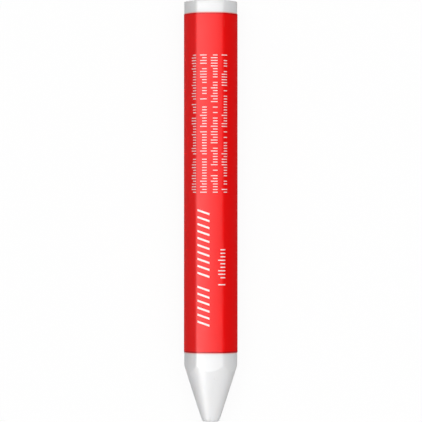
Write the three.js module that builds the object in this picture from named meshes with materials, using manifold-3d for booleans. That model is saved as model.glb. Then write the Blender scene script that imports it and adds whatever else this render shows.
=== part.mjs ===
// Wax marking crayon for glass and metal: a white six-sided wax stick with a blunt point,
// in a red paper sleeve that is rolled once round it and glued to itself along a lap.
// Units are millimetres. The crayon lies on one of its sides, +Z up, with its point towards -Y.
import * as THREE from "three";
import { mergeVertices } from "three/addons/utils/BufferGeometryUtils.js";
import Module from "manifold-3d";

// Wax stick. Its sides are slightly crowned and its corners are rounded.
const sides = 6;
const acrossFlats = 12.0; // between the lands of two opposite sides
const landWidth = 2.2; // flat down the middle of each side, on which the crayon lies
const sideRadius = 11.8; // with which a side is crowned on both sides of its land
const cornerRadius = 1.3;
const stickLength = 101.7;
const buttRounding = 0.3; // soft edge round the flat butt end

// Point. It is turned on the six-sided bar, so it meets each side in a shallow scallop.
const pointLength = 13.6; // from the blunt end back to where the cone leaves the corners
const bluntRadius = 2.01; // of the blunt end, if its edge were sharp
const bluntRounding = 0.55;
const flankCrown = 0.045; // how far the flank stands outside a straight cone, halfway along

// Paper sleeve, rolled once round the stick and lapped over its own first edge
const buttMargin = 3.0; // bare wax between the sleeve and the butt end
const pointMargin = 3.1; // bare wax between the sleeve and the point
const paperThickness = 0.08;
const paperClearance = 0.01; // between the wax and the paper
const lapWidth = 3.6; // where the paper lies double
const lapInset = 0.4; // from the sleeve's free edge to the corner that it stops before
const lapRamp = 0.9; // in which the paper climbs over its own first edge

// Glue in the lap
const glueThickness = 0.02;
const glueMargin = 0.4; // from the glue to each edge of the lap
const glueEndMargin = 1.0; // from the glue to each end of the sleeve

// Fineness of the curved faces
const shoulderStrips = 3; // on each side of a land
const cornerStrips = 6;
const rampStrips = 6;
const turnedStrips = 96;
const flankSteps = 8;
const roundingSteps = 5;

// Worked out from the sizes above
const sideAngle = (2 * Math.PI) / sides;
const flatHalf = acrossFlats / 2;
const landHalfTurn = landWidth / 2 / sideRadius; // half the angle that a land takes of the crown
// How far a side's centre lies beyond the stick's axis
const sideCentre = sideRadius * Math.cos(landHalfTurn) - flatHalf;
// How far a corner's centre lies from the axis, so that its arc runs tangent into both sides
const cornerCentre =
  Math.sqrt((sideRadius - cornerRadius) ** 2 - (sideCentre * Math.sin(sideAngle / 2)) ** 2) -
  sideCentre * Math.cos(sideAngle / 2);
const cornerHalf = cornerCentre + cornerRadius;
// Half the angle through which a side's normal turns
const sideHalfTurn = Math.atan2(
  cornerCentre * Math.sin(sideAngle / 2),
  sideCentre + cornerCentre * Math.cos(sideAngle / 2),
);
const sideLength = 2 * sideHalfTurn * sideRadius; // round the outline
const cornerLength = (sideAngle - 2 * sideHalfTurn) * cornerRadius;
const shoulderLength = (sideLength - landWidth) / 2; // from a land to the corner arc
const pitch = sideLength + cornerLength;
const perimeter = sides * pitch;

const sleeveStart = pointLength + pointMargin; // from the blunt end
const sleeveLength = stickLength - buttMargin - sleeveStart;
const freeEdge = sideLength - lapInset; // round the outline, as the next two
const firstEdge = freeEdge - lapWidth;
const rampStart = firstEdge - lapRamp;
// From the surface that the crayon lies on, touched by the paper over the lowest land
const axisHeight =
  (sideRadius + paperClearance + paperThickness) * Math.cos(landHalfTurn) - sideCentre;

// Point at this distance round the stick's outline, moved outwards by offset. Distance 0 is
// where the side with the lap begins, and a corner follows each side.
function outlinePoint(distance, offset) {
  const side = Math.floor(distance / pitch + 1e-9);
  const along = distance - side * pitch;
  const middle = (side + 0.5) * sideAngle;
  const onSide = along <= sideLength;
  const normal = onSide
    ? middle - sideHalfTurn + along / sideRadius
    : middle + sideHalfTurn + (along - sideLength) / cornerRadius;
  const centreAngle = onSide ? middle : middle + sideAngle / 2;
  const centreRadius = onSide ? -sideCentre : cornerCentre;
  const arcRadius = (onSide ? sideRadius : cornerRadius) + offset;
  return new THREE.Vector2(
    centreRadius * Math.cos(centreAngle) + arcRadius * Math.cos(normal),
    centreRadius * Math.sin(centreAngle) + arcRadius * Math.sin(normal),
  );
}

// Distances round the outline where one flat strip ends and the next begins, between two
// distances and with both of them. Layers that lie on each other share all their stops.
function outlineStops(from, to) {
  const once = [firstEdge, firstEdge + glueMargin, freeEdge - glueMargin, freeEdge];
  for (let i = 0; i < rampStrips; i++) once.push(rampStart + (lapRamp * i) / rampStrips);
  for (let side = 0; side < sides; side++) {
    const start = side * pitch;
    for (let i = 0; i <= shoulderStrips; i++) {
      const along = (shoulderLength * i) / shoulderStrips;
      once.push(start + along, start + sideLength - along);
    }
    for (let i = 1; i < cornerStrips; i++)
      once.push(start + sideLength + (cornerLength * i) / cornerStrips);
  }
  const between = [-1, 0, 1, 2]
    .flatMap((turn) => once.map((stop) => stop + turn * perimeter))
    .filter((stop) => stop > from && stop < to);
  const sorted = [from, ...between, to].sort((a, b) => a - b);
  const shortest = 1e-3; // stops closer than this are one stop
  return sorted.filter((stop, i) => i === 0 || stop - sorted[i - 1] > shortest);
}

const smoothStep = (t) => t * t * (3 - 2 * t);

// Gap between the wax and the paper, which steps up where the paper climbs over its first edge
function paperOffset(distance) {
  const climb = (distance - perimeter - rampStart) / lapRamp;
  const risen = smoothStep(Math.min(Math.max(climb, 0), 1));
  return paperClearance + risen * (paperThickness + glueThickness);
}

// Flat band that follows the outline from one distance to another, between two offsets
function bandShape(from, to, innerOffset, outerOffset) {
  const stops = outlineStops(from, to);
  const outer = stops.map((stop) => outlinePoint(stop, outerOffset(stop)));
  const inner = stops.map((stop) => outlinePoint(stop, innerOffset(stop)));
  return new THREE.Shape([...outer, ...inner.reverse()]);
}

const wasm = await Module();
wasm.setup();

function solidOf(geometry) {
  const bare = geometry.clone();
  bare.deleteAttribute("normal");
  bare.deleteAttribute("uv");
  const merged = mergeVertices(bare, 1e-4);
  return new wasm.Manifold(
    new wasm.Mesh({
      numProp: 3,
      vertProperties: merged.attributes.position.array,
      triVerts: new Uint32Array(merged.index.array),
    }),
  );
}

function geometryOf(solid) {
  const mesh = solid.getMesh();
  const geometry = new THREE.BufferGeometry();
  geometry.setAttribute("position", new THREE.BufferAttribute(mesh.vertProperties, 3));
  geometry.setIndex(new THREE.BufferAttribute(mesh.triVerts, 1));
  geometry.computeVertexNormals();
  return geometry;
}

// Six-sided bar along +Z with a rounded edge at its butt end. Its other end is cut off later.
function barGeometry() {
  const outline = outlineStops(0, perimeter).slice(0, -1);
  const shape = new THREE.Shape(outline.map((stop) => outlinePoint(stop, 0)));
  return new THREE.ExtrudeGeometry(shape, {
    depth: stickLength - buttRounding,
    bevelThickness: buttRounding,
    bevelSize: buttRounding,
    bevelOffset: -buttRounding,
    bevelSegments: 3,
  });
}

// Turned body along +Z: the blunt end at 0, then the crowned flank, which widens past the bar
function turnedGeometry() {
  const flankStart = new THREE.Vector2(bluntRadius, 0);
  const flankEnd = new THREE.Vector2(cornerHalf, pointLength);
  const chord = flankEnd.clone().sub(flankStart);
  const outwards = new THREE.Vector2(chord.y, -chord.x).normalize();
  const flankPoint = (t) =>
    flankStart
      .clone()
      .addScaledVector(chord, t)
      .addScaledVector(outwards, 4 * flankCrown * t * (1 - t));

  // The blunt end's edge is an arc that runs tangent into the end face and the flank
  const flankStep = flankPoint(0.1).sub(flankStart);
  const flankTurn = Math.atan2(flankStep.y, flankStep.x);
  const tangentLength = bluntRounding * Math.tan(flankTurn / 2);
  const rounding = Array.from({ length: roundingSteps + 1 }, (_, i) => {
    const angle = -Math.PI / 2 + (flankTurn * i) / roundingSteps;
    return new THREE.Vector2(
      bluntRadius - tangentLength + bluntRounding * Math.cos(angle),
      bluntRounding + bluntRounding * Math.sin(angle),
    );
  });

  const rounded = tangentLength / chord.length();
  const flank = Array.from({ length: flankSteps }, (_, i) =>
    flankPoint(rounded + ((1 - rounded) * (i + 1)) / flankSteps),
  );
  // The flank runs on at its last slope until it is clear of the corners
  const clear = 1;
  const [before, last] = flank.slice(-2);
  const lastStep = last.clone().sub(before);
  const runOn = last.clone().addScaledVector(lastStep, clear / lastStep.x);
  const top = stickLength + clear;
  const profile = [
    new THREE.Vector2(0, 0),
    ...rounding,
    ...flank,
    runOn,
    new THREE.Vector2(runOn.x, top),
    new THREE.Vector2(0, top),
  ];
  return new THREE.LatheGeometry(profile, turnedStrips).rotateX(Math.PI / 2);
}

function waxStick() {
  const stick = solidOf(barGeometry()).intersect(solidOf(turnedGeometry()));
  const wax = new THREE.MeshStandardMaterial({ color: 0xf2f1ee, roughness: 0.5, metalness: 0 });
  const mesh = new THREE.Mesh(geometryOf(stick), wax);
  mesh.name = "wax_stick";
  return mesh;
}

function paperSleeve() {
  const outer = (stop) => paperOffset(stop) + paperThickness;
  const shape = bandShape(firstEdge, perimeter + freeEdge, paperOffset, outer);
  const geometry = new THREE.ExtrudeGeometry(shape, { depth: sleeveLength, bevelEnabled: false });
  const paper = new THREE.MeshStandardMaterial({ color: 0xe3211f, roughness: 0.4, metalness: 0 });
  const mesh = new THREE.Mesh(geometry, paper);
  mesh.name = "paper_sleeve";
  mesh.position.z = sleeveStart;
  return mesh;
}

// Film of dried glue that fills the lap, between the paper's first and last layers
function lapGlue() {
  const inner = () => paperClearance + paperThickness;
  const outer = () => inner() + glueThickness;
  const shape = bandShape(firstEdge + glueMargin, freeEdge - glueMargin, inner, outer);
  const depth = sleeveLength - 2 * glueEndMargin;
  const geometry = new THREE.ExtrudeGeometry(shape, { depth, bevelEnabled: false });
  const glue = new THREE.MeshStandardMaterial({ color: 0xe9dfc4, roughness: 0.6, metalness: 0 });
  const mesh = new THREE.Mesh(geometry, glue);
  mesh.name = "lap_glue";
  mesh.position.z = sleeveStart + glueEndMargin;
  return mesh;
}

// Each piece is built along its own +Z, with the blunt end at 0, and then laid down along +Y
const crayon = new THREE.Group();
crayon.add(waxStick(), paperSleeve(), lapGlue());
crayon.rotation.x = -Math.PI / 2;
crayon.position.set(0, -stickLength / 2, axisHeight);

const part = new THREE.Group();
part.add(crayon);

export default part;
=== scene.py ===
# Looks of a wax crayon for marking glass: white wax stick, red paper sleeve, glue in its lap
import bmesh
import bpy
import math
from mathutils import Matrix, Vector, noise


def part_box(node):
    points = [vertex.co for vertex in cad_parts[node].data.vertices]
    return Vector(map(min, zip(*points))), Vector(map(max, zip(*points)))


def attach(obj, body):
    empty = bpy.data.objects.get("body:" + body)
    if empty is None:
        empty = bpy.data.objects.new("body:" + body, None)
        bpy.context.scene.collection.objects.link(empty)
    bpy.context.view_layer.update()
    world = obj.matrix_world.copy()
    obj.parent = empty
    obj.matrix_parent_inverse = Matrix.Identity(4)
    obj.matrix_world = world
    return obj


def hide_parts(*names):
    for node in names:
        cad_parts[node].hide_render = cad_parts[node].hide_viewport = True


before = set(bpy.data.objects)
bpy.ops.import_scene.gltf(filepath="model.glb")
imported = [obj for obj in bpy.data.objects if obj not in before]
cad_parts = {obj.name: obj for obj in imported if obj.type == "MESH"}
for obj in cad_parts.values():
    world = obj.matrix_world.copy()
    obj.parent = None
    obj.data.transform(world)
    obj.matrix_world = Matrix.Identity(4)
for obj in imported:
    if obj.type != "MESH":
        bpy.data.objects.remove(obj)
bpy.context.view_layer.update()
stickLow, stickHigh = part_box("wax_stick")
sleeveLow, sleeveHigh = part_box("paper_sleeve")
mm = 0.001  # sizes below are in millimetres, Blender's are in metres
lumpShare = 0.6  # noise is drawn out along the crayon by this, into lumps longer than they are wide

# What the pieces share, read from the frame where it has it
crayon = {
    "sides": 6,
    "flatHalf": (stickHigh.z - stickLow.z) / 2 / mm,
    "cornerHalf": (stickHigh.x - stickLow.x) / 2 / mm,
    "cornerRadius": 1.3,
    "axisHeight": (stickHigh.z + stickLow.z) / 2 / mm,
    "tip": stickLow.y / mm,
    "butt": stickHigh.y / mm,
    "sleeveTip": sleeveLow.y / mm,
    "sleeveButt": sleeveHigh.y / mm,
}
print("frame read: stick", round(crayon["butt"] - crayon["tip"], 2), "mm long")

# Outline of the stick: six shallow arcs that run tangent into six corner arcs
sideAngle = 2 * math.pi / crayon["sides"]
cornerCentre = crayon["cornerHalf"] - crayon["cornerRadius"]
cornerReach = cornerCentre * math.cos(sideAngle / 2)
sideRadius = (
    crayon["cornerRadius"] ** 2 - cornerCentre**2 - crayon["flatHalf"] ** 2
    + 2 * cornerReach * crayon["flatHalf"]
) / (2 * (cornerReach - crayon["flatHalf"] + crayon["cornerRadius"]))
sideCentre = sideRadius - crayon["flatHalf"]
sideTurn = math.atan2(cornerCentre * math.sin(sideAngle / 2), sideCentre + cornerReach)
sideLength = 2 * sideTurn * sideRadius
cornerLength = (sideAngle - 2 * sideTurn) * crayon["cornerRadius"]
pitch = sideLength + cornerLength
perimeter = crayon["sides"] * pitch
topMiddle = 4 * pitch + sideLength / 2  # middle of the side that faces up


def outlinePoint(distance, offset=0.0):
    # Distance 0 is where the side with the lap begins, low on the +X side. Gives x and height
    side = math.floor(distance / pitch + 1e-9)
    along = distance - side * pitch
    middle = (side + 0.5) * sideAngle
    if along <= sideLength:
        normal = middle - sideTurn + along / sideRadius
        centre, angle, radius = -sideCentre, middle, sideRadius
    else:
        normal = middle + sideTurn + (along - sideLength) / crayon["cornerRadius"]
        centre, angle, radius = cornerCentre, middle + sideAngle / 2, crayon["cornerRadius"]
    x = centre * math.cos(angle) + (radius + offset) * math.cos(normal)
    down = centre * math.sin(angle) + (radius + offset) * math.sin(normal)
    return Vector((x, -down))


def outlineStops(sideSteps, cornerSteps):
    stops = []
    for side in range(crayon["sides"]):
        start = side * pitch
        stops += [start + sideLength * i / sideSteps for i in range(sideSteps)]
        stops += [start + sideLength + cornerLength * i / cornerSteps for i in range(cornerSteps)]
    return stops


def place(point, along):
    # From x and height off the crayon's axis, and its place along Y, to a point in metres
    return Vector((point.x, along, point.y + crayon["axisHeight"])) * mm


def smoothStep(low, high, value):
    t = min(max((value - low) / (high - low), 0), 1)
    return t * t * (3 - 2 * t)


def unevenness(point, along, size):
    # Smooth noise from 0 to 1, in lumps of this size in millimetres
    value = noise.noise(Vector((point.x, along * lumpShare, point.y)) / size)
    return min(max(0.5 + 0.5 * value, 0), 1)


def addObject(name, data):
    item = bpy.data.objects.new(name, data)
    bpy.context.scene.collection.objects.link(item)
    return item


def meshOf(build, name, *materials):
    mesh = bpy.data.meshes.new(name)
    build.to_mesh(mesh)
    build.free()
    for material in materials:
        mesh.materials.append(material)
    return mesh


def addPiece(name, mesh, replaced, sharpAngle):
    piece = addObject(name, mesh)
    for polygon in mesh.polygons:
        polygon.use_smooth = True
    mesh.set_sharp_from_angle(angle=math.radians(sharpAngle))
    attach(piece, "root")
    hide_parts(replaced)
    return piece


def toLinear(hexColour):
    values = [int(hexColour[i : i + 2], 16) / 255 for i in (1, 3, 5)]
    return [v / 12.92 if v <= 0.04045 else ((v + 0.055) / 1.055) ** 2.4 for v in values] + [1]


def setInputs(tree, node, inputs):
    # An input is a number, a vector, a colour or another node's output
    for socket, value in inputs.items():
        if isinstance(value, bpy.types.NodeSocket):
            tree.links.new(value, node.inputs[socket])
        else:
            node.inputs[socket].default_value = value


def addNode(tree, kind, inputs, **settings):
    # Gives the node's outputs
    node = tree.nodes.new("ShaderNode" + kind)
    for name, value in settings.items():
        setattr(node, name, value)
    setInputs(tree, node, inputs)
    return node.outputs


def startMaterial(name):
    material = bpy.data.materials.new(name)
    material.use_nodes = True
    return material, material.node_tree, material.node_tree.nodes["Principled BSDF"]


# Paraffin wax, white with titanium pigment, cast as a bar and turned to a point: a milky white
# that lets a little light in, with a soft gloss, faint rings on the point and a few small pits
wax = {
    "body": "#F3F3F4",
    "cloud": "#F0F0F0",
    # darker colour of the pits: painted shade in their hollows
    "pit": "#D9D8D4",
    "rubAndPaintedLight": "#FFBBB6",  # red that came off the sleeve's edges, its red lighter than the wax: partly painted light over the shade there
    "rubAndLightShare": 0.8,
    "rubAndLightWidth": 0.4,
    "cloudSize": 4.0,
    "pitSpacing": 1.6,
    "pitsLeftOut": 0.6,  # share of the cells that have none
    "pitRadius": 0.13,
    "pitFloor": 0.3,  # share of the radius over which a pit is deepest
    "pitDepth": 0.03,
    "ringPitch": 0.42,
    "ringDepth": 0.006,
    "ringWander": 0.3,
    "wandersPerMm": 0.33,
    "drawLine": 0.5,
    "drawStretch": 40,
    "drawDepth": 0.012,
    "sawLine": 0.35,
    "sawStretch": 25,
    "sawDepth": 0.05,
    "grainSize": 0.25,
    "grainDepth": 0.01,
    "patchesPerMm": 0.6,
    "roughness": 0.34,
    "patchRoughness": (-0.03, 0.05),  # that the patches take away at most, and add at most
    "turnedRoughness": 0.02,
    "specularLevel": 0.065,
    "ior": 1.44,
    "subsurface": 0.6,
    "subsurfaceRadius": (1.0, 0.95, 0.9),  # red light goes furthest in
    "subsurfaceDepth": 2.5,
}


def paraffinWax():
    material, tree, shader = startMaterial("pigmentedParaffinWax")
    metres = addNode(tree, "TexCoord", {})["Object"]
    where = addNode(tree, "VectorMath", {0: metres, "Scale": 1 / mm}, operation="SCALE")[0]
    along = addNode(tree, "SeparateXYZ", {0: where})["Y"]
    turned = addNode(tree, "Attribute", {}, attribute_name="turned")["Fac"]
    sawn = addNode(tree, "Attribute", {}, attribute_name="sawn")["Fac"]

    # Colour: cloudy pigment
    cloud = addNode(tree, "TexNoise", {"Vector": where, "Scale": 1 / wax["cloudSize"]})[0]
    colours = {0: cloud, 6: toLinear(wax["body"]), 7: toLinear(wax["cloud"])}
    colour = addNode(tree, "Mix", colours, data_type="RGBA")[2]

    # Small pits where air was, in some of the cells only; their darker colour is painted shade in the
    # hollows
    cells = addNode(tree, "TexVoronoi", {"Vector": where, "Scale": 1 / wax["pitSpacing"]})
    chance = addNode(tree, "SeparateColor", {0: cells["Color"]})[0]
    chosen = addNode(tree, "Math", {0: chance, 1: wax["pitsLeftOut"]}, operation="GREATER_THAN")[0]
    rim = wax["pitRadius"] / wax["pitSpacing"]
    bowl = {0: cells["Distance"], "From Min": rim * wax["pitFloor"], "From Max": rim,
            "To Min": 1.0, "To Max": 0.0}
    hollow = addNode(tree, "MapRange", bowl, interpolation_type="SMOOTHSTEP")[0]
    pit = addNode(tree, "Math", {0: hollow, 1: chosen}, operation="MULTIPLY")[0]
    colour = addNode(tree, "Mix", {0: pit, 6: colour, 7: toLinear(wax["pit"])}, data_type="RGBA")[2]

    # Red rubbed onto the wax beside both ends of the sleeve, partly painted light: its red is lighter
    # than the wax, to lift the shade beside the sleeve's edges
    middle = (crayon["sleeveTip"] + crayon["sleeveButt"]) / 2
    half = crayon["sleeveButt"] - middle
    aside = addNode(tree, "Math", {0: along, 1: middle}, operation="SUBTRACT")[0]
    away = addNode(tree, "Math", {0: aside}, operation="ABSOLUTE")[0]
    fading = {0: away, "From Min": half, "From Max": half + wax["rubAndLightWidth"],
              "To Min": wax["rubAndLightShare"], "To Max": 0.0}
    rubAndPaintedLight = addNode(tree, "MapRange", fading, interpolation_type="SMOOTHSTEP")[0]
    colour = addNode(tree, "Mix", {0: rubAndPaintedLight, 6: colour, 7: toLinear(wax["rubAndPaintedLight"])}, data_type="RGBA")[2]

    # Gloss: uneven all over, and duller where the point was turned and the butt end sawn
    grainy = {"Vector": where, "Scale": wax["patchesPerMm"], "Detail": 3.0}
    patches = addNode(tree, "TexNoise", grainy)[0]
    least, most = (wax["roughness"] + change for change in wax["patchRoughness"])
    spread = {0: patches, "From Min": 0.3, "From Max": 0.75, "To Min": least, "To Max": most}
    uneven = addNode(tree, "MapRange", spread)[0]
    cut = addNode(tree, "Math", {0: turned, 1: sawn}, operation="ADD")[0]
    duller = {0: cut, 1: wax["turnedRoughness"], 2: uneven}
    gloss = addNode(tree, "Math", duller, operation="MULTIPLY_ADD")[0]

    # Draw lines along the bar
    thin = 1 / wax["drawLine"]
    lengthwise = {0: where, 1: (thin, thin / wax["drawStretch"], thin)}
    drawn = addNode(tree, "VectorMath", lengthwise, operation="MULTIPLY")[0]
    lines = addNode(tree, "TexNoise", {"Vector": drawn, "Scale": 1.0, "Detail": 3.0})[0]
    relief = addNode(tree, "Bump", {"Height": lines, "Distance": wax["drawDepth"] * mm})[0]

    # Rings round the point, which wander a little
    sway = addNode(tree, "TexNoise", {"Vector": where, "Scale": wax["wandersPerMm"]})[0]
    swayed = {0: sway, 1: wax["ringWander"] * 2, 2: along}
    shifted = addNode(tree, "Math", swayed, operation="MULTIPLY_ADD")[0]
    perMm = 2 * math.pi / wax["ringPitch"]
    turns = addNode(tree, "Math", {0: shifted, 1: perMm}, operation="MULTIPLY")[0]
    wave = addNode(tree, "Math", {0: turns}, operation="SINE")[0]
    rings = addNode(tree, "Math", {0: wave, 1: turned}, operation="MULTIPLY")[0]
    ringed = {"Height": rings, "Distance": wax["ringDepth"] / 2 * mm, "Normal": relief}
    relief = addNode(tree, "Bump", ringed)[0]

    # Saw marks straight across the butt end
    thin = 1 / wax["sawLine"]
    crosswise = {0: where, 1: (thin / wax["sawStretch"], thin, thin)}
    across = addNode(tree, "VectorMath", crosswise, operation="MULTIPLY")[0]
    marks = addNode(tree, "TexNoise", {"Vector": across, "Scale": 1.0})[0]
    cuts = addNode(tree, "Math", {0: marks, 1: sawn}, operation="MULTIPLY")[0]
    sawed = {"Height": cuts, "Distance": wax["sawDepth"] * mm, "Normal": relief}
    relief = addNode(tree, "Bump", sawed)[0]

    # Fine grain of the wax, then the pits
    granular = {"Vector": where, "Scale": 1 / wax["grainSize"], "Detail": 4.0}
    fine = addNode(tree, "TexNoise", granular)[0]
    grained = {"Height": fine, "Distance": wax["grainDepth"] * mm, "Normal": relief}
    relief = addNode(tree, "Bump", grained)[0]
    pitted = {"Height": pit, "Distance": wax["pitDepth"] * mm, "Normal": relief}
    relief = addNode(tree, "Bump", pitted, invert=True)[0]

    setInputs(tree, shader, {
        "Base Color": colour,
        "Roughness": gloss,
        "Normal": relief,
        "IOR": wax["ior"],
        "Specular IOR Level": wax["specularLevel"],
        "Subsurface Weight": wax["subsurface"],
        "Subsurface Radius": wax["subsurfaceRadius"],
        "Subsurface Scale": wax["subsurfaceDepth"] * mm,
    })
    return material


# Wax stick: a blunt turned point, the six-sided bar and a square butt end
stick = {
    "pointLength": 13.6,
    "bluntRadius": 2.01,
    "bluntRounding": 0.55,
    "bluntDish": 0.03,
    "dishShares": (1e-6, 0.35, 0.7, 0.92),  # rings on the blunt end, as shares of its flat
    "flankCrown": 0.045,
    "scallopRounding": 0.05,
    "scallopFade": 0.1,  # from turned wax to the bar's own
    "barMargin": 1.2,  # from the point to the bar's first ring
    "buttRounding": 0.15,
    "buttShares": (0.93, 0.75, 0.5, 0.25, 1e-6),  # rings on the butt end
    "dent": 0.014,  # how far the surface dips at most
    "dentSize": 7.0,
    "sideSteps": 20,
    "cornerSteps": 12,
    "flankSteps": 48,
    "barSteps": 60,
    "roundingSteps": 8,
    "sharpAngle": 50,
}
# Rings beside the scalloped line, by their distance from it
scallopOffsets = (-0.4, -0.25, -0.15, -0.08, -0.03, 0, 0.03, 0.08, 0.15, 0.25, 0.4, 0.8)


def flankRadius(fromTip):
    t = fromTip / stick["pointLength"]
    straight = stick["bluntRadius"] + (crayon["cornerHalf"] - stick["bluntRadius"]) * t
    return straight + 4 * stick["flankCrown"] * t * (1 - t)


def scallopPlace(radius):
    # Where the flank is as wide as the bar is in this direction, found by halving
    low, high = 0.0, stick["pointLength"] * 1.1
    for _ in range(40):
        middle = (low + high) / 2
        low, high = (middle, high) if flankRadius(middle) < radius else (low, middle)
    return low


def softMinimum(a, b, softness):
    near = max(softness - abs(a - b), 0) / softness
    return min(a, b) - near * near * softness / 4


def waxRings():
    # Rings of points from the tip's middle to the butt's middle: (points, turned, sawn)
    stops = outlineStops(stick["sideSteps"], stick["cornerSteps"])
    bar = [outlinePoint(stop) for stop in stops]
    scallops = [scallopPlace(point.length) for point in bar]
    length = crayon["butt"] - crayon["tip"]
    rings = []

    # Blunt end, slightly dished, and its rounded edge
    slope = math.atan2(stick["pointLength"], crayon["cornerHalf"] - stick["bluntRadius"])
    tangent = stick["bluntRounding"] * math.tan(slope / 2)
    flat = stick["bluntRadius"] - tangent
    for share in stick["dishShares"]:
        dish = stick["bluntDish"] * (1 - share**2)
        rings.append(([(point.normalized() * flat * share, dish) for point in bar], 1, 0))
    for step in range(stick["roundingSteps"] + 1):
        turn = slope * step / stick["roundingSteps"]
        radius = flat + stick["bluntRounding"] * math.sin(turn)
        along = stick["bluntRounding"] * (1 - math.cos(turn))
        rings.append(([(point.normalized() * radius, along) for point in bar], 1, 0))

    # Flank rings turn from flat at the tip into the scalloped line where the bar begins
    start = tangent * math.sin(slope)
    for step in range(1, stick["flankSteps"] - 1):
        ring = []
        for point, scallop in zip(bar, scallops):
            along = start + (scallop - start) * step / stick["flankSteps"]
            ring.append((point.normalized() * flankRadius(along), along))
        rings.append((ring, 1, 0))
    fade = stick["scallopFade"]
    for past in scallopOffsets:
        ring = []
        for point, scallop in zip(bar, scallops):
            along = scallop + past
            radius = softMinimum(point.length, flankRadius(along), stick["scallopRounding"])
            ring.append((point.normalized() * radius, along))
        rings.append((ring, smoothStep(fade, -fade, past), 0))

    # Along the bar, then round its edge onto the butt end
    barStart = stick["pointLength"] + stick["barMargin"]
    barEnd = length - stick["buttRounding"]
    for step in range(stick["barSteps"] + 1):
        along = barStart + (barEnd - barStart) * step / stick["barSteps"]
        rings.append(([(point, along) for point in bar], 0, 0))
    for step in range(1, stick["roundingSteps"] + 1):
        turn = math.pi / 2 * step / stick["roundingSteps"]
        inset = stick["buttRounding"] * (1 - math.cos(turn))
        along = barEnd + stick["buttRounding"] * math.sin(turn)
        ring = [(outlinePoint(stop, -inset), along) for stop in stops]
        rings.append((ring, 0, step / stick["roundingSteps"]))
    for share in stick["buttShares"]:
        edge = [outlinePoint(stop, -stick["buttRounding"]) * share for stop in stops]
        rings.append(([(point, length) for point in edge], 0, 1))
    return rings


def waxStick():
    build = bmesh.new()
    turnedLayer = build.verts.layers.float.new("turned")
    sawnLayer = build.verts.layers.float.new("sawn")
    rows = []
    for ring, turned, sawn in waxRings():
        row = []
        for point, fromTip in ring:
            along = crayon["tip"] + fromTip
            dip = stick["dent"] * unevenness(point, along, stick["dentSize"])
            vertex = build.verts.new(place(point * (1 - dip / crayon["flatHalf"]), along))
            vertex[turnedLayer] = turned
            vertex[sawnLayer] = sawn
            row.append(vertex)
        rows.append(row)
    count = len(rows[0])
    for below, above in zip(rows, rows[1:]):
        for i in range(count):
            k = (i + 1) % count
            build.faces.new((below[i], below[k], above[k], above[i]))
    shortest = 0.01 * mm  # closer points than this become one, in the middle of each end
    bmesh.ops.remove_doubles(build, verts=rows[0] + rows[-1], dist=shortest)
    bmesh.ops.recalc_face_normals(build, faces=build.faces)
    mesh = meshOf(build, "wax_bar", paraffinWax())
    return addPiece("wax_bar", mesh, "wax_stick", stick["sharpAngle"])


waxBar = waxStick()
print("wax stick made:", len(waxBar.data.polygons), "faces")

# Label paper, coated on its outside, printed solid red and varnished: an even, clean red with a
# satin gloss and a fine grain, worn a little at the corners, and with painted shade at both ends: a
# darker red band along the cut edges. The grain is drawn three times as coarse as it is, so that it
# shows
paper = {
    "ink": "#F80B0B",
    "inkDeep": "#F40A0A",
    "mottleSize": 1.4,
    "worn": "#F2403C",
    "wornShare": 0.3,
    "wornRoughness": 0.3,
    "scuffSize": 0.7,
    "scuffStretch": 6,
    # darker red painted along the cut ends as shade
    "paintedEndShade": "#BE1216",
    "endShadeWidth": 0.38,
    "endShadeBlur": 0.1,
    "buttEndShade": 0.6,  # as a share of how dark it is at the point
    "white": "#FCF2F1",
    "whiteCover": (0.9, 0.98),  # share of the red that the white ink hides, at least and at most
    "specksPerMm": 4.0,
    "fibreSize": 0.15,
    "fibreStretch": 2.5,
    "fibreDepth": 0.004,
    "waveSize": 2.2,
    "waveDepth": 0.01,
    "patchesPerMm": 0.8,
    "roughness": 0.5,
    "patchRoughness": (-0.03, 0.04),  # that the patches take away at most, and add at most
    "specularLevel": 0.035,
    "ior": 1.5,
    "core": "#F4E4DF",
    "coreShade": "#E9D3CE",
    "coreStretch": 3,
    "coreDepth": 0.012,
    "coreRoughness": (0.75, 0.95),
    "coreSpecularLevel": 0.2,
}

# White print, in millimetres: rows of short strokes that stand on these bases, which are distances
# from the middle of the upper side. A lot drawn for each stroke leaves it out, or makes it high.
# The strokes of the fine rows are twice as far apart as in print of that size, so that they show
whitePrint = [
    {"bases": (-3.36, -0.76, 1.84, 4.44), "low": 1.1, "high": 1.6, "width": 0.2,
     "first": 4.6, "pitch": 0.66, "count": 51, "slant": 0.0, "leftOut": 0.14},
    {"bases": (-0.1,), "low": 2.9, "high": 2.9, "width": 0.48,
     "first": -27.5, "pitch": 1.675, "count": 17, "slant": 0.35, "leftOut": 0.1},
    {"bases": (3.8,), "low": 1.25, "high": 1.8, "width": 0.26,
     "first": -17.65, "pitch": 0.84, "count": 11, "slant": 0.0, "leftOut": 0.1},
]
highShare = 0.3


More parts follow.
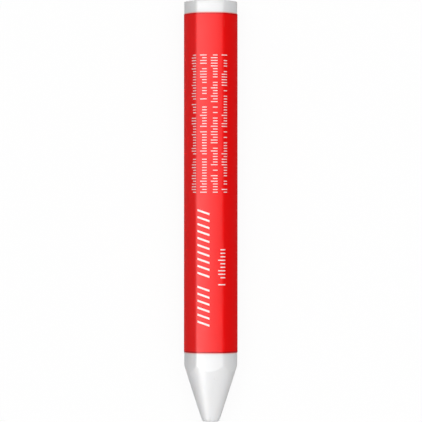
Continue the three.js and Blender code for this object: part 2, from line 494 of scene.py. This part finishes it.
def printMask(tree, across, along):
    # 1 on the white ink, 0 beside it
    mask = 0.0
    for block in whitePrint:
        pitch, low, high = block["pitch"], block["low"], block["high"]
        length = pitch * (block["count"] - 1)
        for base in block["bases"]:
            up = addNode(tree, "Math", {0: base, 1: across}, operation="SUBTRACT")[0]
            leaning = {0: up, 1: -block["slant"], 2: along}
            straight = addNode(tree, "Math", leaning, operation="MULTIPLY_ADD")[0]
            run = addNode(tree, "Math", {0: straight, 1: block["first"]}, operation="SUBTRACT")[0]
            off = addNode(tree, "Math", {0: run, 1: pitch / 2}, operation="PINGPONG")[0]
            inked = {0: off, 1: 0.0, 2: block["width"] / 2}
            stroke = addNode(tree, "Math", inked, operation="COMPARE")[0]

            number = addNode(tree, "Math", {0: run, 1: pitch}, operation="DIVIDE")[0]
            whole = addNode(tree, "Math", {0: number}, operation="ROUND")[0]
            own = addNode(tree, "Math", {0: whole, 1: base}, operation="ADD")[0]
            lot = addNode(tree, "TexWhiteNoise", {"W": own}, noise_dimensions="1D")[0]
            kept = addNode(tree, "Math", {0: lot, 1: block["leftOut"]}, operation="GREATER_THAN")[0]
            tall = addNode(tree, "Math", {0: lot, 1: 1 - highShare}, operation="GREATER_THAN")[0]
            reach = {0: tall, 1: (high - low) / 2, 2: low / 2}
            halfUp = addNode(tree, "Math", reach, operation="MULTIPLY_ADD")[0]
            inRow = addNode(tree, "Math", {0: up, 1: halfUp, 2: halfUp}, operation="COMPARE")[0]
            ends = {0: run, 1: length / 2, 2: (length + pitch) / 2}
            within = addNode(tree, "Math", ends, operation="COMPARE")[0]
            shown = addNode(tree, "Math", {0: kept, 1: within}, operation="MULTIPLY")[0]
            shown = addNode(tree, "Math", {0: shown, 1: inRow}, operation="MULTIPLY")[0]
            mask = addNode(tree, "Math", {0: stroke, 1: shown, 2: mask}, operation="MULTIPLY_ADD")[0]
    return mask


def varnishedPaper():
    material, tree, shader = startMaterial("varnishedRedLabelPaper")
    metres = addNode(tree, "TexCoord", {})["Object"]
    where = addNode(tree, "VectorMath", {0: metres, "Scale": 1 / mm}, operation="SCALE")[0]
    sheet = addNode(tree, "UVMap", {}, uv_map="unrolled")[0]
    flat = addNode(tree, "SeparateXYZ", {0: sheet})

    # Colour: solid ink that takes a little unevenly
    mottled = {"Vector": where, "Scale": 1 / paper["mottleSize"], "Detail": 4.0}
    takes = addNode(tree, "TexNoise", mottled)[0]
    colours = {0: takes, 6: toLinear(paper["ink"]), 7: toLinear(paper["inkDeep"])}
    colour = addNode(tree, "Mix", colours, data_type="RGBA")[2]

    # Worn at the corners of the stick, in scuffs that run lengthwise
    corner = addNode(tree, "Attribute", {}, attribute_name="corner")["Fac"]
    fine = 1 / paper["scuffSize"]
    lengthwise = {0: where, 1: (fine, fine / paper["scuffStretch"], fine)}
    stretched = addNode(tree, "VectorMath", lengthwise, operation="MULTIPLY")[0]
    scuffs = addNode(tree, "TexNoise", {"Vector": stretched, "Scale": 1.0, "Detail": 5.0})[0]
    spots = {0: scuffs, "From Min": 0.5, "From Max": 0.75, "To Max": paper["wornShare"]}
    scuffed = addNode(tree, "MapRange", spots, interpolation_type="SMOOTHSTEP")[0]
    worn = addNode(tree, "Math", {0: scuffed, 1: corner}, operation="MULTIPLY")[0]
    faded = {0: worn, 6: colour, 7: toLinear(paper["worn"])}
    colour = addNode(tree, "Mix", faded, data_type="RGBA")[2]

    # Painted shade: a darker red band along both cut ends, more at the point than at the butt
    width, blur = paper["endShadeWidth"], paper["endShadeBlur"]
    for end, share in ((crayon["sleeveTip"], 1.0), (crayon["sleeveButt"], paper["buttEndShade"])):
        aside = addNode(tree, "Math", {0: flat["Y"], 1: end}, operation="SUBTRACT")[0]
        away = addNode(tree, "Math", {0: aside}, operation="ABSOLUTE")[0]
        fading = {0: away, "From Min": width - blur, "From Max": width + blur,
                  "To Min": share, "To Max": 0.0}
        paintedEndShade = addNode(tree, "MapRange", fading, interpolation_type="SMOOTHSTEP")[0]
        darkened = {0: paintedEndShade, 6: colour, 7: toLinear(paper["paintedEndShade"])}
        colour = addNode(tree, "Mix", darkened, data_type="RGBA")[2]

    # White print, through which a little red shows
    speckle = addNode(tree, "TexNoise", {"Vector": where, "Scale": paper["specksPerMm"]})[0]
    least, most = paper["whiteCover"]
    covering = addNode(tree, "MapRange", {0: speckle, "To Min": least, "To Max": most})[0]
    mask = printMask(tree, flat["X"], flat["Y"])
    white = addNode(tree, "Math", {0: covering, 1: mask}, operation="MULTIPLY")[0]
    covered = {0: white, 6: colour, 7: toLinear(paper["white"])}
    colour = addNode(tree, "Mix", covered, data_type="RGBA")[2]

    # Gloss: satin varnish, uneven, duller where it is worn
    grainy = {"Vector": where, "Scale": paper["patchesPerMm"], "Detail": 3.0}
    patches = addNode(tree, "TexNoise", grainy)[0]
    least, most = (paper["roughness"] + change for change in paper["patchRoughness"])
    spread = {0: patches, "From Min": 0.3, "From Max": 0.7, "To Min": least, "To Max": most}
    uneven = addNode(tree, "MapRange", spread)[0]
    duller = {0: worn, 1: paper["wornRoughness"], 2: uneven}
    gloss = addNode(tree, "Math", duller, operation="MULTIPLY_ADD")[0]

    # Relief: fibres under the coating, and shallow waves where the sheet isn't quite tight
    thin = 1 / paper["fibreSize"]
    lengthwise = {0: where, 1: (thin, thin / paper["fibreStretch"], thin)}
    laid = addNode(tree, "VectorMath", lengthwise, operation="MULTIPLY")[0]
    fibres = addNode(tree, "TexNoise", {"Vector": laid, "Scale": 1.0, "Detail": 3.0})[0]
    relief = addNode(tree, "Bump", {"Height": fibres, "Distance": paper["fibreDepth"] * mm})[0]
    slack = addNode(tree, "TexNoise", {"Vector": where, "Scale": 1 / paper["waveSize"]})[0]
    waves = {"Height": slack, "Distance": paper["waveDepth"] * mm, "Normal": relief}
    relief = addNode(tree, "Bump", waves)[0]

    setInputs(tree, shader, {
        "Base Color": colour,
        "Roughness": gloss,
        "Normal": relief,
        "IOR": paper["ior"],
        "Specular IOR Level": paper["specularLevel"],
    })
    return material


def uncoatedCore():
    # The sheet's uncoated inside, which shows at its cut edges: matt, fibrous, stained pink by ink
    material, tree, shader = startMaterial("uncoatedPaperCore")
    metres = addNode(tree, "TexCoord", {})["Object"]
    fine = 1 / paper["fibreSize"] / mm
    lengthwise = {0: metres, 1: (fine, fine / paper["coreStretch"], fine)}
    laid = addNode(tree, "VectorMath", lengthwise, operation="MULTIPLY")[0]
    fibres = addNode(tree, "TexNoise", {"Vector": laid, "Scale": 1.0, "Detail": 4.0})[0]
    colours = {0: fibres, 6: toLinear(paper["core"]), 7: toLinear(paper["coreShade"])}
    colour = addNode(tree, "Mix", colours, data_type="RGBA")[2]
    least, most = paper["coreRoughness"]
    rough = addNode(tree, "MapRange", {0: fibres, "To Min": least, "To Max": most})[0]
    relief = addNode(tree, "Bump", {"Height": fibres, "Distance": paper["coreDepth"] * mm})[0]
    setInputs(tree, shader, {
        "Base Color": colour,
        "Roughness": rough,
        "Normal": relief,
        "Specular IOR Level": paper["coreSpecularLevel"],
    })
    return material


# Paper sleeve: one sheet rolled once round the stick, with the lap low on the +X side
sleeve = {
    "clearance": 0.01,
    "lapWidth": 3.6,
    "lapInset": 0.4,
    "lapRamp": 0.9,
    "glueThickness": 0.02,
    "edgeDrop": 0.02,  # how far the outer face bends down at the cut ends
    "edgeBend": 0.3,  # over this width
    "endWander": 0.03,  # the knife's cut strays this far
    "wanderSize": 6.0,
    "wanderChange": 5,  # how much faster it changes along the sheet
    "endZone": 2,  # in which the wander fades, with closer rows of points
    "endRows": (0, 0.03, 0.08, 0.15, 0.22, 0.3, 0.5, 1.0),
    "dent": 0.012,
    "dentSize": 5.0,
    "sideSteps": 18,
    "cornerSteps": 14,
    "rampSteps": 8,
    "lengthSteps": 40,
    "shortestStrip": 0.02,
    "cornerFade": (0.9, 0.2),  # shares of a corner arc from its middle, where wear begins and is full
    "sharpAngle": 40,
}
thickness = (sleeveHigh.x - stickHigh.x) / mm - sleeve["clearance"]
freeEdge = sideLength - sleeve["lapInset"]
firstEdge = freeEdge - sleeve["lapWidth"]


def paperGap(distance):
    # From the wax to the sheet's inner face, which climbs over the sheet's first edge
    rampStart = perimeter + firstEdge - sleeve["lapRamp"]
    risen = smoothStep(rampStart, perimeter + firstEdge, distance)
    return sleeve["clearance"] + risen * (thickness + sleeve["glueThickness"])


def sheetStops():
    once = outlineStops(sleeve["sideSteps"], sleeve["cornerSteps"])
    first, last = firstEdge, perimeter + freeEdge
    shortest = sleeve["shortestStrip"]  # stops closer than this are one stop
    stops = [stop + turn * perimeter for turn in (0, 1) for stop in once]
    for i in range(sleeve["rampSteps"] + 1):
        stops.append(perimeter + firstEdge - sleeve["lapRamp"] * i / sleeve["rampSteps"])
    inner = [stop for stop in stops if first + shortest < stop < last - shortest]
    ordered = sorted([first] + inner + [last])
    return [s for i, s in enumerate(ordered) if i == 0 or s - ordered[i - 1] > shortest]


def sheetStations():
    # Distances from the sheet's end at the point, close together at both ends
    length = crayon["sleeveButt"] - crayon["sleeveTip"]
    near, zone = list(sleeve["endRows"]), sleeve["endZone"]
    step = (length - 2 * zone) / sleeve["lengthSteps"]
    middle = [zone + step * i for i in range(sleeve["lengthSteps"] + 1)]
    return near + middle + [length - n for n in reversed(near)]


def cornerShare(distance):
    # 1 in the middle of a corner arc, 0 on the sides
    along = distance % pitch - sideLength - cornerLength / 2
    begin, full = (cornerLength * share for share in sleeve["cornerFade"])
    return smoothStep(begin, full, abs(along))


def paperSleeve():
    build = bmesh.new()
    cornerLayer = build.verts.layers.float.new("corner")
    unrolled = build.loops.layers.uv.new("unrolled")
    stops, stations = sheetStops(), sheetStations()
    length = stations[-1]
    flatPlace = {}
    outer, inner = [], []
    for station in stations:
        outer.append([])
        inner.append([])
        fromEnd = min(station, length - station)
        bend = sleeve["edgeDrop"] * (1 - smoothStep(0, sleeve["edgeBend"], fromEnd))
        for stop in stops:
            base = outlinePoint(stop)
            stray = unevenness(base, station * sleeve["wanderChange"], sleeve["wanderSize"])
            wander = sleeve["endWander"] * stray
            wander *= 1 - smoothStep(0, sleeve["endZone"], fromEnd)
            along = crayon["sleeveTip"] + station + (wander if station < length / 2 else -wander)
            gap = paperGap(stop)
            dip = sleeve["dent"] * unevenness(base, along, sleeve["dentSize"])
            if gap > 2 * sleeve["clearance"] or stop < sleeve["lapWidth"] + firstEdge:
                dip = 0  # the layers of the lap lie tight on each other
            layers = ((outer, gap + thickness - bend - dip), (inner, gap))
            for rows, offset in layers:
                vertex = build.verts.new(place(outlinePoint(stop, offset), along))
                vertex[cornerLayer] = cornerShare(stop)
                flatPlace[vertex] = (stop - topMiddle, along)
                rows[-1].append(vertex)

    # Both faces of the sheet, then its cut ends, then its first and last edges
    printed, core = 0, 1
    spans, strips = range(len(stations) - 1), range(len(stops) - 1)
    faces = []
    for r in spans:
        for c in strips:
            outerFace = (outer[r][c], outer[r][c + 1], outer[r + 1][c + 1], outer[r + 1][c])
            innerFace = (inner[r][c], inner[r + 1][c], inner[r + 1][c + 1], inner[r][c + 1])
            faces += [(outerFace, printed), (innerFace, core)]
    for c in strips:
        for r in (0, -1):
            faces.append(((outer[r][c], inner[r][c], inner[r][c + 1], outer[r][c + 1]), core))
    for r in spans:
        for c in (0, -1):
            faces.append(((outer[r][c], outer[r + 1][c], inner[r + 1][c], inner[r][c]), core))
    for corners, index in faces:
        face = build.faces.new(corners)
        face.material_index = index
        for loop in face.loops:
            loop[unrolled].uv = flatPlace[loop.vert]
    bmesh.ops.recalc_face_normals(build, faces=build.faces)
    mesh = meshOf(build, "paper_wrap", varnishedPaper(), uncoatedCore())
    return addPiece("paper_wrap", mesh, "paper_sleeve", sleeve["sharpAngle"])


paperWrap = paperSleeve()
print("paper sleeve made:", len(paperWrap.data.polygons), "faces")

# Starch paste, brushed on and dried: a dull straw-coloured film, cloudy and a little rough
paste = {
    "film": "#E9DFC4",
    "cloud": "#D9CBA5",
    "cloudSize": 1.2,
    "depth": 0.01,
    "roughness": (0.5, 0.75),
}


def driedPaste():
    material, tree, shader = startMaterial("driedStarchPaste")
    metres = addNode(tree, "TexCoord", {})["Object"]
    clouds = {"Vector": metres, "Scale": 1 / paste["cloudSize"] / mm, "Detail": 4.0}
    cloud = addNode(tree, "TexNoise", clouds)[0]
    colours = {0: cloud, 6: toLinear(paste["film"]), 7: toLinear(paste["cloud"])}
    colour = addNode(tree, "Mix", colours, data_type="RGBA")[2]
    least, most = paste["roughness"]
    rough = addNode(tree, "MapRange", {0: cloud, "To Min": least, "To Max": most})[0]
    relief = addNode(tree, "Bump", {"Height": cloud, "Distance": paste["depth"] * mm})[0]
    setInputs(tree, shader, {"Base Color": colour, "Roughness": rough, "Normal": relief})
    return material


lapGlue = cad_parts["lap_glue"]
lapGlue.data.materials.clear()
lapGlue.data.materials.append(driedPaste())
print("glue finished")

# Studio: a pale floor, softboxes overhead and dim light from all round
studio = {
    "floorSize": 8.0,
    "floorDrop": 0.02,
    "floorSeen": "#FFFFFF",
    "floorBounce": "#606060",
    "floorGlow": 0.92,
    "ambient": 0.49,
    "softboxDistance": 0.9,
}

# Metres, watts and degrees from straight above. All but the first only add their soft shine
softboxes = [
    {"name": "key", "width": 1.4, "left": -5, "near": 0, "watts": 5.9, "lights": True},
    {"name": "topShine", "width": 1.0, "left": 10, "near": -8, "watts": 80, "lights": False},
    {"name": "leftShine", "width": 0.7, "left": 41, "near": 25, "watts": 126, "lights": False},
]


def seenDirectly(tree):
    # 1 where a camera, glossy or transmission ray looks
    path = addNode(tree, "LightPath", {})
    shown = {0: path["Is Camera Ray"], 1: path["Is Glossy Ray"]}
    seen = addNode(tree, "Math", shown, operation="MAXIMUM")[0]
    return addNode(tree, "Math", {0: seen, 1: path["Is Transmission Ray"]}, operation="MAXIMUM")[0]


def paleFloor():
    material, tree, shader = startMaterial("paleStudioFloor")
    tree.nodes.remove(shader)
    seen = seenDirectly(tree)
    colours = {0: seen, 6: toLinear(studio["floorBounce"]), 7: toLinear(studio["floorSeen"])}
    colour = addNode(tree, "Mix", colours, data_type="RGBA")[2]
    matt = addNode(tree, "BsdfDiffuse", {"Color": colour})[0]
    glow = addNode(tree, "Emission", {"Strength": 1.0})[0]
    share = addNode(tree, "Math", {0: seen, 1: studio["floorGlow"]}, operation="MULTIPLY")[0]
    mixed = addNode(tree, "MixShader", {0: share, 1: matt, 2: glow})[0]
    setInputs(tree, tree.nodes["Material Output"], {"Surface": mixed})
    return material


def buildStudio():
    build = bmesh.new()
    half, low = studio["floorSize"] / 2, -studio["floorDrop"] * mm
    outline = ((-half, -half), (half, -half), (half, half), (-half, half))
    build.faces.new([build.verts.new((x, y, low)) for x, y in outline])
    floor = addObject("studio_floor", meshOf(build, "studio_floor", paleFloor()))

    for box in softboxes:
        lamp = bpy.data.lights.new(box["name"], "AREA")
        lamp.shape = "DISK"
        lamp.size = box["width"]
        lamp.energy = box["watts"]
        softbox = addObject(box["name"], lamp)
        left, near = (math.tan(math.radians(box[way])) for way in ("left", "near"))
        away = Vector((-left, -near, 1)).normalized()
        softbox.location = away * studio["softboxDistance"]
        softbox.rotation_euler = away.to_track_quat("Z", "Y").to_euler()
        softbox.visible_diffuse = box["lights"]

    world = bpy.data.worlds.new("studio_air")
    bpy.context.scene.world = world
    world.use_nodes = True
    tree = world.node_tree
    air = {0: seenDirectly(tree), "To Min": studio["ambient"], "To Max": 1.0}
    strength = addNode(tree, "MapRange", air)[0]
    setInputs(tree, tree.nodes["Background"], {"Color": (1, 1, 1, 1), "Strength": strength})


buildStudio()
print("studio lit")

# Camera over the crayon, as the photograph sees it: far off, a little to the right of straight
# above and nearer to the point's end
view = {
    "distance": 714.0,
    "frameHeight": 102.3,  # what the frame takes in at the crayon's axis
    "centre": (0.06, 0.11),
    "lean": 2.0,  # degrees towards +X
    "eyeAlong": -3.8,
    "sensor": 36.0,
    "nearest": 50.0,  # from which the camera sees
}


def addCamera():
    data = bpy.data.cameras.new("camera")
    data.sensor_width = view["sensor"]
    data.lens = view["sensor"] * view["distance"] / view["frameHeight"]
    data.clip_start = view["nearest"] * mm
    camera = addObject("camera", data)
    target = Vector((*view["centre"], crayon["axisHeight"])) * mm
    lean = math.radians(view["lean"])
    rise = (view["eyeAlong"] - view["centre"][1]) / view["distance"]
    away = Vector((math.sin(lean), rise, math.cos(lean))).normalized()
    across = Vector((0, 1, 0)).cross(away).normalized()
    turn = Matrix((across, away.cross(across), away)).transposed()
    camera.matrix_world = Matrix.Translation(target + away * view["distance"] * mm) @ turn.to_4x4()
    bpy.context.scene.camera = camera


addCamera()
bpy.context.scene.view_settings.view_transform = "Standard"
